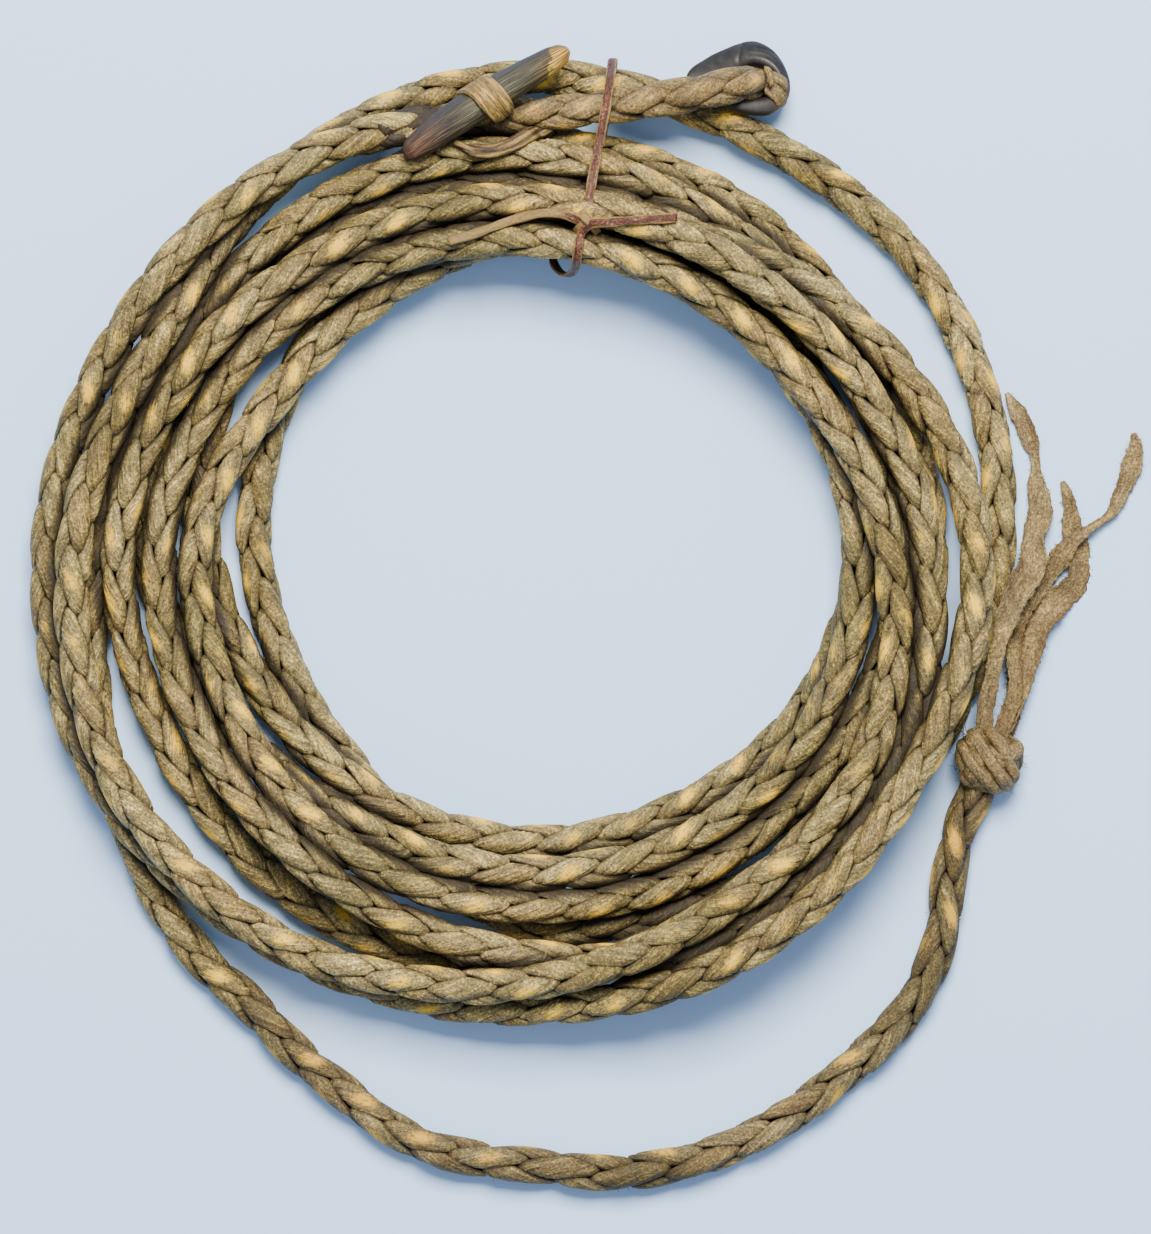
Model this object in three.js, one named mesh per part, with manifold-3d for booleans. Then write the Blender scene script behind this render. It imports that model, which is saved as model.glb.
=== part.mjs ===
// A long four-strand braided hide rope laid down as a coil, with a horn ring and a horn toggle
// at its working end, a thin lace tied round the bundle, and a knot with four frayed tails.
// Millimetres, +Z up. The rope lies on z = 0 and the origin is under the middle of the outline.
import * as THREE from "three";
import { mergeVertices } from "three/addons/utils/BufferGeometryUtils.js";
import Module from "manifold-3d";

const wasm = await Module();
wasm.setup();

// Driving sizes
const gap = 0.3;
const ropeDiameter = 15;
const pressedDiameter = 0.86 * ropeDiameter; // neighbouring turns press into each other
const ropeFlat = 0.5; // how far the lowest turns are flattened where they lie
const coilCentre = new THREE.Vector2(-30, 28.4);
const stepDegrees = 6;
const settlePasses = 40;
const coilStartDegrees = 222;
const coilEndDegrees = 8 * 360 + 350;
const laceDiameter = 3;
const laceDegrees = 12;
const laceLift = 5.2; // how far the lace under the bundle lifts the lowest turns
const braidDiameter = 12.4;
const stripThickness = 2;

// Radius of the rope's middle line at each hour of the clock, one row a turn, from the first
// turn's seventh hour (the rope's tail) to the last turn's twelfth (the horn ring's end).
const firstHour = 7;
const turnRadii = [
  212, 186, 166, 155, 158,
  156, 153, 154, 158, 157, 150, 144, 138, 130, 126, 112, 111,
  116, 118, 130, 138.5, 141, 137, 130.5, 127.5, 131, 139, 150, 158,
  161, 163, 163, 168, 166.5, 168.5, 171, 166, 159.5, 157, 146, 138,
  137, 139.5, 150.5, 165.5, 176, 177, 161, 151, 144.5, 141, 132, 125,
  122, 124.5, 133, 150, 165, 167, 175, 183, 183, 173, 163, 176.5,
  189.5, 191, 199, 195, 184, 168, 145, 114, 103, 105, 109, 120,
  131, 132, 137, 140, 134, 124.5, 119, 115, 115, 119, 133, 145,
  143, 143, 165.5, 183, 184.5, 187, 185, 185.5, 189.5, 186, 178.5, 174.5,
  170,
];
// Which turn lies on which at the same hours: a higher number lies above a lower one.
const turnOrder = [
  0, 0, 0.4, 0.9, 1.4,
  2, 2, 1.2, 0.9, 1.5, 1.5, 1.5, 1.5, 2, 2, 2, 2,
  0.5, 0.5, 1.5, 1.8, 1.8, 1.6, 1.6, 1.4, 0.5, 0.3, 0.3, 0.4,
  0.2, 0.2, 0.2, 0.5, 1, 1.2, 1, 1, 1, 1.5, 2.5, 3,
  3, 3, 3, 2.5, 1.5, 2, 2, 2, 2, 2, 2, 2,
  3, 3, 3, 3, 3, 3.2, 3.5, 3.5, 3.5, 2.5, 1.5, 0.8,
  0.8, 0.8, 0.5, 0.3, 0.1, 0.1, 0.1, 0.1, 0.5, 0.5, 0.5, 0.3,
  0.3, 0.3, 0.3, 0.8, 0.8, 0.8, 0.8, 0.9, 0.9, 0.3, 0.2, 0.8,
  1.5, 2.5, 2.8, 3, 3, 2.8, 2, 1.5, 2, 2, 2, 2.8,
  3.2,
];

// Middle line of the loose stretch from the end knot round to where it goes under the coil
const tailRoute = [
  [155.4, -72.6], [151.4, -80], [148.4, -89.6], [145.2, -105.6], [143.6, -121.6],
  [137.2, -143.6], [129.2, -157.6], [117.2, -171.6], [103.2, -183.6], [89.2, -195.6],
  [69.2, -207.6], [49.2, -216.4], [29.2, -221.6], [5.2, -223.6], [-18.8, -220.8],
  [-42.8, -218.4], [-60.8, -214.4], [-78.8, -205.6], [-94.8, -193.6], [-110.8, -180.8],
  [-122.8, -169.6],
];
// Middle line of the braid from the toggle over the outer turn and down into the ring
const braidRoute = [
  [-36, 199.2, 19.5], [-18.8, 200.4, 21.5], [1.2, 203.2, 25.5], [21.2, 206.8, 27],
  [38, 209.2, 28.8], [50, 211, 29.4], [60, 212.6, 27.6], [67, 213.6, 24.4],
];
const ringCentre = new THREE.Vector3(68, 214, 13);
const ringTilt = THREE.MathUtils.degToRad(-27); // far rim on the surface, near rim on the outer turn
const ringLean = new THREE.Vector3(0.906, -0.423, 0); // the outer turn's direction beside the ring
const ringThickness = 6;
const ringHoleRadius = 7.6;
const ringStrapDiameter = 3.4;
const toggleTip = new THREE.Vector3(-72.8, 183.2, 37);
const toggleEnd = new THREE.Vector3(-7.6, 226.4, 33);
const keeperWidth = 12;
const keeperThickness = 2;
const knotCentre = [161.2, -58, 12];
const knotRadii = [15, 14.2, 12];

const hide = { color: 0x9a8361, roughness: 0.78, metalness: 0 };
const palerHide = { color: 0xa68f66, roughness: 0.75, metalness: 0 };
const darkHorn = { color: 0x3a3839, roughness: 0.35, metalness: 0 };
const greyHorn = { color: 0x5d5346, roughness: 0.45, metalness: 0 };
const redLace = { color: 0x6e4a3a, roughness: 0.8, metalness: 0 };

const group = new THREE.Group();

function addPiece(name, geometry, finish) {
  const mesh = new THREE.Mesh(geometry, new THREE.MeshStandardMaterial(finish));
  mesh.name = name;
  group.add(mesh);
  return mesh;
}

function toSolid(geometry) {
  const bare = geometry.clone();
  bare.deleteAttribute("normal");
  bare.deleteAttribute("uv");
  const merged = mergeVertices(bare, 1e-4);
  return new wasm.Manifold(new wasm.Mesh({
    numProp: 3,
    vertProperties: new Float32Array(merged.attributes.position.array),
    triVerts: new Uint32Array(merged.index.array),
  }));
}

function toGeometry(solid) {
  const mesh = solid.getMesh();
  const geometry = new THREE.BufferGeometry();
  geometry.setAttribute("position", new THREE.BufferAttribute(mesh.vertProperties, 3));
  geometry.setIndex(new THREE.BufferAttribute(mesh.triVerts, 1));
  geometry.computeVertexNormals();
  return geometry;
}

function tube(points, diameter, sides, steps) {
  const section = new THREE.Shape();
  for (let side = 0; side < sides; side += 1) {
    const angle = (side + 0.5) * 2 * Math.PI / sides;
    const corner = diameter / 2 / Math.cos(Math.PI / sides);
    const method = side === 0 ? "moveTo" : "lineTo";
    section[method](corner * Math.cos(angle), corner * Math.sin(angle));
  }
  section.closePath();
  const curve = new THREE.CatmullRomCurve3(points, false, "centripetal");
  return new THREE.ExtrudeGeometry(section, { steps, bevelEnabled: false, extrudePath: curve });
}

// Smooth value of an hourly table at a fractional row
function hourly(table, place) {
  const row = Math.floor(place);
  const part = place - row;
  const at = (index) => table[Math.min(Math.max(index, 0), table.length - 1)];
  const [a, b, c, d] = [at(row - 1), at(row), at(row + 1), at(row + 2)];
  return b + 0.5 * part * (c - a + part * (2 * a - 5 * b + 4 * c - d + part * (3 * (b - c) + d - a)));
}

function between(table, place) {
  const row = Math.min(Math.floor(place), table.length - 2);
  return THREE.MathUtils.lerp(table[row], table[row + 1], place - row);
}

// The coil's middle line: radii from the table, heights by letting each turn come to rest on
// the turns below it and then easing the rope's bends, again and again.
function settleCoil() {
  const perTurn = 360 / stepDegrees;
  const count = (turnRadii.length - 1) * 30 / stepDegrees + 1;
  const places = Array.from({ length: count }, (_, index) => index * stepDegrees / 30);
  const degrees = places.map((place) => (place + firstHour) * 30);
  const radii = places.map((place) => hourly(turnRadii, place));
  const order = places.map((place) => between(turnOrder, place));
  const floor = degrees.map((angle) => {
    const away = ((angle - laceDegrees + 180) % 360) - 180;
    return ropeDiameter / 2 - ropeFlat + laceLift * Math.exp(-((away / 7) ** 2));
  });
  let heights = [...floor];
  for (let pass = 0; pass < settlePasses; pass += 1) {
    for (let column = 0; column < perTurn; column += 1) {
      const turns = [];
      for (let index = column; index < count; index += perTurn) {
        turns.push(index);
      }
      turns.sort((one, other) => order[one] - order[other]);
      turns.forEach((upper, rank) => {
        for (const lower of turns.slice(0, rank)) {
          const apart = radii[upper] - radii[lower];
          if (Math.abs(apart) < pressedDiameter) {
            const rest = heights[lower] + Math.sqrt(pressedDiameter ** 2 - apart ** 2);
            heights[upper] = Math.max(heights[upper], rest);
          }
        }
      });
    }
    heights = heights.map((height, index) => {
      const before = heights[Math.max(index - 1, 0)];
      const after = heights[Math.min(index + 1, count - 1)];
      return Math.max(0.25 * before + 0.5 * height + 0.25 * after, floor[index]);
    });
  }
  return degrees.map((angle, index) => {
    const turn = THREE.MathUtils.degToRad(angle);
    const x = coilCentre.x + radii[index] * Math.sin(turn);
    const y = coilCentre.y + radii[index] * Math.cos(turn);
    return new THREE.Vector3(x, y, heights[index]);
  });
}

// One solid of all the coiled turns: a tube for each part of a turn, joined and cut flat below
function coilGeometry(route) {
  const pieceLength = 48; // samples in each tube that the union joins
  let coil = null;
  for (let first = startIndex; first < endIndex; first += pieceLength) {
    const last = Math.min(first + pieceLength, endIndex);
    const points = route.slice(first === startIndex ? first - 1 : first, last + 2);
    const whole = toSolid(tube(points, ropeDiameter, 8, Math.ceil((last - first) / 2.8)));
    const opened = first === startIndex ? cutAt(whole, startPlane, 1) : whole;
    const piece = last === endIndex ? cutAt(opened, endPlane, -1) : opened;
    coil = coil ? coil.add(piece) : piece;
  }
  return toGeometry(laidFlat(coil));
}

// Cuts away what would sink into the surface, and keeps the one whole piece
function laidFlat(solid) {
  const slab = new THREE.BoxGeometry(900, 900, 40);
  slab.translate(0, 0, -20);
  const parts = solid.subtract(toSolid(slab)).decompose();
  parts.sort((one, other) => other.volume() - one.volume());
  return parts[0];
}

function indexAt(degrees) {
  return Math.round((degrees - firstHour * 30) / stepDegrees);
}

function planeAcross(route, index) {
  const direction = route[index + 1].clone().sub(route[index - 1]).normalize();
  return new THREE.Plane().setFromNormalAndCoplanarPoint(direction, route[index]);
}

// Keeps the part of a solid ahead of a plane (side 1) or behind it (side -1), half a gap away
function cutAt(solid, plane, side) {
  const normal = plane.normal.clone().multiplyScalar(side);
  return solid.trimByPlane(normal.toArray(), gap / 2 - side * plane.constant);
}

const coilRoute = settleCoil();
const startIndex = indexAt(coilStartDegrees);
const endIndex = indexAt(coilEndDegrees);
const startPlane = planeAcross(coilRoute, startIndex);
const endPlane = planeAcross(coilRoute, endIndex);
addPiece("rope_coil", coilGeometry(coilRoute), hide);

// Loose stretch of the same rope, lying on the surface
const tailPoints = tailRoute.map(([x, y]) => new THREE.Vector3(x, y, ropeDiameter / 2 - ropeFlat));
tailPoints.push(...coilRoute.slice(0, startIndex + 2));
const tail = cutAt(toSolid(tube(tailPoints, ropeDiameter, 10, 32)), startPlane, -1);
addPiece("rope_tail", toGeometry(laidFlat(tail)), hide);

// Horn ring: a flat drop with a round hole, its far rim tipped down towards the surface
const ringOutline = new THREE.Shape();
ringOutline.moveTo(-29, 0.8);
ringOutline.bezierCurveTo(-29, 7, -12, 18.4, 1, 18.4);
ringOutline.bezierCurveTo(8, 18.4, 12.3, 8, 12.3, 0);
ringOutline.bezierCurveTo(12.3, -8, 7, -13.5, -1, -13.5);
ringOutline.bezierCurveTo(-12, -13.5, -29, -6, -29, 0.8);
const ringBevel = 1.2;
const ringBody = new THREE.ExtrudeGeometry(new THREE.Shape(ringOutline.getPoints(9).slice(0, -1)), {
  depth: ringThickness - 2 * ringBevel,
  bevelThickness: ringBevel,
  bevelSize: ringBevel,
  bevelOffset: -ringBevel,
  bevelSegments: 2,
});
ringBody.translate(0, 0, ringBevel - ringThickness / 2);
const ringHole = new THREE.CylinderGeometry(ringHoleRadius, ringHoleRadius, 2 * ringThickness, 24);
ringHole.rotateX(Math.PI / 2);
const ringGeometry = toGeometry(toSolid(ringBody).subtract(toSolid(ringHole)));
const ring = addPiece("horn_ring", ringGeometry, darkHorn);
ring.position.copy(ringCentre);
ring.quaternion.setFromAxisAngle(ringLean, ringTilt);
ring.updateMatrixWorld();

// Braid up to the ring, with the strap that goes down through the hole and back over the rim
const braidPoints = braidRoute.map((point) => new THREE.Vector3(...point));
braidPoints.unshift(...coilRoute.slice(endIndex - 1, endIndex + 2));
const ringStrap = [
  [-4, -1.5, 10], [3, -1.5, 9.4], [8, -1.5, 7.4], [12, -1.5, 5.6], [15, -1.5, 2.4], [15, -1.5, -2.4],
  [12, -1.5, -5.6], [6, -1.2, -5.8], [2, -0.8, -2.4], [-0.4, -0.5, 3], [-2, -0.5, 8.6],
].map((point) => ring.localToWorld(new THREE.Vector3(...point)));
const ringBraid = cutAt(toSolid(tube(braidPoints, braidDiameter, 10, 14)), endPlane, 1);
addPiece("ring_braid", toGeometry(ringBraid.add(toSolid(tube(ringStrap, ringStrapDiameter, 8, 20)))), palerHide);

// Horn toggle: a tapered peg with rounded ends, laid across the braid
const toggleAxis = toggleEnd.clone().sub(toggleTip);
const toggleLength = toggleAxis.length();
const toggleProfile = new THREE.SplineCurve([
  [0, 0], [2.6, 0.7], [4.4, 3], [5.6, 10], [6.8, 26],
  [6.9, 42], [6, 60], [5, 72], [3.6, 76.6], [0, toggleLength],
].map(([radius, place]) => new THREE.Vector2(radius, place))).getPoints(18);
toggleProfile[0].x = 0;
toggleProfile.at(-1).x = 0;
const toggle = addPiece("horn_toggle", new THREE.LatheGeometry(toggleProfile, 14), greyHorn);
toggle.position.copy(toggleTip);
const upright = new THREE.Vector3(0, 1, 0);
toggle.quaternion.setFromUnitVectors(upright, toggleAxis.clone().normalize());

// Hide keeper: a strap arched over the toggle, its two legs down beside it
const keeperInner = 6.9 + gap + 0.15;
const keeperOuter = keeperInner + keeperThickness;
const keeperLeg = 5;
const keeperShape = new THREE.Shape();
keeperShape.moveTo(keeperOuter, -keeperLeg);
keeperShape.lineTo(keeperOuter, 0);
keeperShape.absarc(0, 0, keeperOuter, 0, Math.PI, false);
keeperShape.lineTo(-keeperOuter, -keeperLeg);
keeperShape.lineTo(-keeperInner, -keeperLeg);
keeperShape.lineTo(-keeperInner, 0);
keeperShape.absarc(0, 0, keeperInner, Math.PI, 0, true);
keeperShape.lineTo(keeperInner, -keeperLeg);
keeperShape.closePath();
const keeperGeometry = new THREE.ExtrudeGeometry(keeperShape, {
  depth: keeperWidth,
  curveSegments: 8,
  bevelEnabled: false,
});
keeperGeometry.translate(0, 0, -keeperWidth / 2);
const keeper = addPiece("toggle_keeper", keeperGeometry, palerHide);
keeper.position.copy(toggleTip).addScaledVector(toggleAxis, 0.5);
const along = toggleAxis.clone().normalize();
const across = new THREE.Vector3(0, 0, 1).cross(along).normalize();
keeper.quaternion.setFromRotationMatrix(new THREE.Matrix4().makeBasis(
  across, along.clone().cross(across), along,
));

// Lace: one loop round the whole bundle, closed by its knot, with two free ends
const laceLoop = [
  [-4, 155.2, 42], [-2, 163, 43.4], [0.6, 171, 41], [4, 183, 37], [6.6, 193, 36], [8.6, 203, 35.5],
  [9.6, 211, 33.5], [10.4, 219, 26], [11, 225.2, 14], [11.2, 225, 5.5], [10.4, 219, 1.9], [9.6, 212, 1.8],
  [6, 195, 1.9], [1, 170, 1.9], [-4, 145, 1.9], [-5.6, 130.5, 3], [-6, 125.6, 10], [-6, 129.5, 22],
  [-5.4, 137, 34], [-5, 145, 39.5], [-4.4, 152, 41.8],
];
const laceEnds = [
  [[-3, 155, 42], [6, 154.6, 43.4], [18, 155, 47], [28, 156, 48.4], [38.6, 157.2, 47]],
  [[-5, 156, 42], [-12, 159.6, 41.8], [-22, 160, 39.5], [-31, 157, 36], [-42, 152.4, 33.6], [-55, 148, 33]],
];
const laceKnot = new THREE.SphereGeometry(1, 12, 8);
laceKnot.scale(5.2, 4, 2.6);
laceKnot.translate(-4, 154.6, 42.4);
const laceLoopPoints = laceLoop.map((point) => new THREE.Vector3(...point));
let lace = toSolid(tube(laceLoopPoints, laceDiameter, 8, 44)).add(toSolid(laceKnot));
for (const end of laceEnds) {
  const points = end.map((point) => new THREE.Vector3(...point));
  lace = lace.add(toSolid(tube(points, laceDiameter, 8, 6)));
}
addPiece("lace_tie", toGeometry(lace), redLace);

// End knot and the four strand tails that fray out of it: x, y, height of the under side, width
const knot = new THREE.SphereGeometry(1, 18, 12);
knot.scale(...knotRadii);
knot.rotateZ(0.3);
addPiece("end_knot", knot, hide).position.set(...knotCentre);

const tails = [
  [
    [168.8, 89.8, 0.4, 1.6], [175.1, 78.9, 0.4, 6.5], [180.2, 64, 0.4, 5.6], [180.6, 52.5, 0.4, 5.6],
    [182.6, 43.3, 1, 9], [180.2, 31.8, 4, 10], [179.1, 20.4, 9.5, 10.5], [171.6, 10, 15.5, 10],
    [167.6, -0.3, 17, 11], [165.4, -10.7, 16.4, 8], [161, -21, 15.6, 6.5], [158.4, -33.6, 14, 6.5],
    [159.4, -42.6, 14, 7],
  ],
  [
    [220, 73.7, 0.4, 1.6], [219.9, 62.8, 0.4, 7.5], [215.2, 50.2, 0.6, 7], [210.7, 41, 1.6, 5],
    [203.8, 35.8, 3, 4.5], [196.8, 30.8, 3.4, 4.5], [190, 23.8, 3.4, 7], [184.4, 16, 3.6, 7],
    [178.6, 7, 4.6, 7], [173.4, -2, 6.5, 7], [169.8, -14, 9, 7], [167.4, -29.6, 11, 7], [166.2, -42, 11, 7],
  ],
  [
    [191.2, 54.2, 0.2, 1.6], [194.6, 46.8, 0.2, 4], [195, 34.1, 0.2, 9], [197.2, 24.9, 0.2, 8],
    [195.6, 14.6, 0.2, 8], [187, 5.6, 0.8, 9], [181, -3.6, 2.8, 9], [177.2, -14, 3.8, 8],
    [174, -23.2, 5.6, 7], [172, -33.6, 7.4, 7], [170.4, -41.4, 8, 7],
  ],
  [
    [173.6, -6.4, 0.2, 4], [173, -17.6, 0.2, 7], [173, -29.6, 2, 7], [172, -41, 4.4, 7],
  ],
];

// A box with one row of corners for each station, each row moved to its place
function tailGeometry(stations) {
  const rows = stations.length - 1;
  const geometry = new THREE.BoxGeometry(1, rows, stripThickness, 1, rows, 1);
  const position = geometry.attributes.position;
  for (let index = 0; index < position.count; index += 1) {
    const row = Math.round(position.getY(index) + rows / 2);
    const [x, y, height, width] = stations[row];
    const before = stations[Math.max(row - 1, 0)];
    const after = stations[Math.min(row + 1, rows)];
    const side = new THREE.Vector2(after[1] - before[1], before[0] - after[0]).normalize();
    side.multiplyScalar(width * position.getX(index));
    position.setXYZ(index, x + side.x, y + side.y, height + stripThickness / 2 + position.getZ(index));
  }
  geometry.computeVertexNormals();
  return geometry;
}

tails.forEach((stations, index) => {
  addPiece(`strand_tail_${index + 1}`, tailGeometry(stations), palerHide);
});

export default group;
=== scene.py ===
# A long four-strand braided hide rope lying in a coil, with its horn ring, horn toggle, lace tie,
# end knot and four frayed strand tails. Metres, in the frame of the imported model.
import math

import bmesh
import bpy
import numpy as np
from mathutils import Matrix, Vector


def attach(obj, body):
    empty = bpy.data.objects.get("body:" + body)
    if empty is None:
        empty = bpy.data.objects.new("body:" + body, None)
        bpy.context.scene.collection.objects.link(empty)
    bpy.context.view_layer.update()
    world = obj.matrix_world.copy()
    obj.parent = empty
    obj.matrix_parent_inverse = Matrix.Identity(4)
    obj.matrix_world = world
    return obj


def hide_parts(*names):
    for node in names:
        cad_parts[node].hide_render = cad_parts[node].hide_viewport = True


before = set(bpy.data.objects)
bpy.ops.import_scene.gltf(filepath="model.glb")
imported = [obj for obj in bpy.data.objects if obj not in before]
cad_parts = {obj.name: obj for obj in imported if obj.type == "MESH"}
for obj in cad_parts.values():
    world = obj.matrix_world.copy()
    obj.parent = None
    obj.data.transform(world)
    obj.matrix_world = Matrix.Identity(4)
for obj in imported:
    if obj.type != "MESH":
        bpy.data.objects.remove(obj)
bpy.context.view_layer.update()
mm = 0.001
hour = 30  # degrees on the clock
lowest = 0.0001  # nothing goes below this height
upward = np.array([0.0, 0.0, 1.0])

# Camera: straight above, far enough off that the upper turns keep their place in the outline
view = {"height": 3.2, "tall": 0.4936, "centre": (-0.0046, -0.0004), "subject": 0.02}


def newObject(name, data):
    made = bpy.data.objects.new(name, data)
    bpy.context.scene.collection.objects.link(made)
    return made


def makeCamera():
    data = bpy.data.cameras.new("camera")
    data.sensor_fit = "VERTICAL"
    data.angle_y = 2 * math.atan(view["tall"] / 2 / (view["height"] - view["subject"]))
    data.clip_end = 20
    camera = newObject("camera", data)
    camera.location = (*view["centre"], view["height"])
    bpy.context.scene.camera = camera


makeCamera()

# The rope's middle line. A turn's radius at each hour of the clock, one row a turn, from the
# first turn's seventh hour to the last turn's twelfth.
coil = {
    "diameter": 0.015,
    "pressed": 0.89 * 0.015,  # neighbouring turns press into each other
    "flat": 0.0005,  # how far the underside is pressed flat
    "centre": (-0.03, 0.0284),
    "stepDegrees": 6,
    "passes": 40,
    "firstHour": 7,
    "startDegrees": 222,
    "endDegrees": 8 * 360 + 350,
    "stain": (0.1568, 0.0896),  # one dark spot on the outer turn
    "laceDegrees": 12,  # the lace passes under the turns here and lifts them
    "laceLift": 0.0052,
    "laceSpread": 7,
    "radii": [
        0.212, 0.186, 0.166, 0.155, 0.1555,
        0.156, 0.153, 0.154, 0.157, 0.154, 0.150, 0.144, 0.138, 0.130, 0.126, 0.112, 0.1125,
        0.1225, 0.1245, 0.132, 0.1385, 0.141, 0.137, 0.1305, 0.1275, 0.134, 0.146, 0.150, 0.1555,
        0.161, 0.163, 0.163, 0.168, 0.1665, 0.1685, 0.171, 0.166, 0.1595, 0.157, 0.146, 0.138,
        0.137, 0.1395, 0.1505, 0.1655, 0.176, 0.178, 0.1635, 0.151, 0.1445, 0.141, 0.132, 0.125,
        0.122, 0.1245, 0.133, 0.150, 0.165, 0.167, 0.175, 0.183, 0.183, 0.1745, 0.163, 0.1755,
        0.1872, 0.1905, 0.199, 0.195, 0.184, 0.1635, 0.150, 0.114, 0.103, 0.1035, 0.109, 0.120,
        0.131, 0.132, 0.137, 0.140, 0.134, 0.1245, 0.119, 0.115, 0.1155, 0.1235, 0.133, 0.145,
        0.143, 0.143, 0.1655, 0.1855, 0.1845, 0.187, 0.185, 0.1855, 0.1895, 0.1855, 0.177, 0.175,
        0.170,
    ],
    # which turn lies on which at the same hours: a higher number lies above a lower one
    "order": [
        0, 0, 0.4, 0.9, 1.4,
        2, 2, 1.2, 0.9, 1.5, 1.5, 1.5, 1.5, 2, 2, 2, 2,
        0.5, 0.5, 1.5, 1.8, 1.8, 1.6, 1.6, 1.4, 0.5, 0.3, 0.3, 0.4,
        0.2, 0.2, 0.2, 0.5, 1, 1.2, 1, 1, 1, 1.5, 2.5, 3,
        3, 3, 3, 2.5, 1.5, 2, 2, 2, 2, 2, 2, 2,
        3, 3, 3, 3, 3, 3.2, 3.5, 3.5, 3.5, 2.5, 1.5, 0.8,
        0.8, 0.8, 0.5, 0.3, 0.1, 0.1, 0.1, 0.1, 0.5, 0.5, 0.5, 0.3,
        0.3, 0.3, 0.3, 0.8, 0.8, 0.8, 0.8, 0.9, 0.9, 0.3, 0.2, 0.8,
        1.5, 2.5, 2.8, 3, 3, 2.8, 2, 1.5, 2, 2, 2, 2.8,
        3.2,
    ],
    # the loose stretch from the end knot round to where it goes under the coil
    "looseEnd": [
        (0.1584, -0.064), (0.1554, -0.0726), (0.1514, -0.08), (0.1484, -0.0896),
        (0.1452, -0.1056), (0.1436, -0.1216), (0.1372, -0.1436), (0.1292, -0.1576),
        (0.1172, -0.1716), (0.1032, -0.1836), (0.0892, -0.1956),
        (0.0692, -0.2076), (0.0492, -0.2164), (0.0292, -0.2216), (0.0052, -0.2236), (-0.0188, -0.2208),
        (-0.0428, -0.2184), (-0.0608, -0.2144), (-0.0788, -0.2056), (-0.0948, -0.1936),
        (-0.1108, -0.1808), (-0.1228, -0.1696),
    ],
    # the finer braid from the coil's end up to the ring
    "ringEnd": [
        (-0.036, 0.1996, 0.0195), (-0.0188, 0.2006, 0.0215), (0.0024, 0.2026, 0.0255),
        (0.022, 0.2048, 0.027), (0.036, 0.2072, 0.0288), (0.049, 0.2096, 0.029), (0.0588, 0.2118, 0.0268),
        (0.0628, 0.2128, 0.022), (0.0652, 0.213, 0.0155), (0.0656, 0.2132, 0.009),
    ],
}


def hourly(table, place):
    # smooth value of an hourly table at fractional rows
    table = np.array(table)
    row = np.floor(place).astype(int)
    part = place - row
    a, b, c, d = (table[np.clip(row + shift, 0, len(table) - 1)] for shift in (-1, 0, 1, 2))
    return b + 0.5 * part * (c - a + part * (2 * a - 5 * b + 4 * c - d + part * (3 * (b - c) + d - a)))


def settleCoil():
    # heights come from letting each turn rest on the turns below it, then easing its bends
    perTurn = 360 // coil["stepDegrees"]
    count = (len(coil["radii"]) - 1) * hour // coil["stepDegrees"] + 1
    places = np.arange(count) * coil["stepDegrees"] / hour
    degrees = (places + coil["firstHour"]) * hour
    radii = hourly(coil["radii"], places)
    order = np.interp(places, np.arange(len(coil["order"])), coil["order"])
    away = np.mod(degrees - coil["laceDegrees"] + 180, 360) - 180
    lift = coil["laceLift"] * np.exp(-((away / coil["laceSpread"]) ** 2))
    floor = coil["diameter"] / 2 - coil["flat"] + lift
    heights = floor.copy()
    for _ in range(coil["passes"]):
        for column in range(perTurn):
            turns = sorted(range(column, count, perTurn), key=lambda index: order[index])
            for rank, upper in enumerate(turns):
                for lower in turns[:rank]:
                    apart = abs(radii[upper] - radii[lower])
                    if apart < coil["pressed"]:
                        rest = heights[lower] + math.sqrt(coil["pressed"] ** 2 - apart ** 2)
                        heights[upper] = max(heights[upper], rest)
        padded = np.concatenate([heights[:1], heights, heights[-1:]])
        heights = np.maximum(0.25 * padded[:-2] + 0.5 * heights + 0.25 * padded[2:], floor)
    turn = np.radians(degrees)
    x = coil["centre"][0] + radii * np.sin(turn)
    y = coil["centre"][1] + radii * np.cos(turn)
    return np.stack([x, y, heights], axis=1)


def indexAt(degrees):
    # the row of the coil's route at so many degrees from its noon
    return round((degrees - coil["firstHour"] * hour) / coil["stepDegrees"])


def runLengths(points):
    # the length along a line at each of its points
    return np.concatenate([[0], np.cumsum(np.linalg.norm(np.diff(points, axis=0), axis=1))])


def smoothLine(points, step):
    # a smooth curve through the points, with places about a step apart
    points = np.array(points, dtype=float)
    knots = runLengths(points)
    slopes = np.gradient(points, knots, axis=0)
    places = np.linspace(0, knots[-1], max(int(knots[-1] / step), 2) + 1)
    row = np.clip(np.searchsorted(knots, places, side="right") - 1, 0, len(knots) - 2)
    span = (knots[row + 1] - knots[row])[:, None]
    t = ((places - knots[row])[:, None]) / span
    a = (1 + 2 * t) * (1 - t) ** 2
    b = t * (1 - t) ** 2
    c = t * t * (3 - 2 * t)
    d = t * t * (t - 1)
    return a * points[row] + b * span * slopes[row] + c * points[row + 1] + d * span * slopes[row + 1]


def lineLength(points):
    return float(np.linalg.norm(np.diff(points, axis=0), axis=1).sum())


coilRoute = settleCoil()
startIndex = indexAt(coil["startDegrees"])
endIndex = indexAt(coil["endDegrees"])
looseHeight = coil["diameter"] / 2 - coil["flat"]
loosePoints = [(x, y, looseHeight) for x, y in coil["looseEnd"]]
ropeLine = smoothLine([*loosePoints, *coilRoute[: endIndex + 1]], 0.003)
braidLine = smoothLine([*coilRoute[endIndex - 1 : endIndex + 1], *coil["ringEnd"]], 0.002)
print(f"rope {lineLength(ropeLine):.3f} m, ring braid {lineLength(braidLine):.3f} m")


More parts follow.
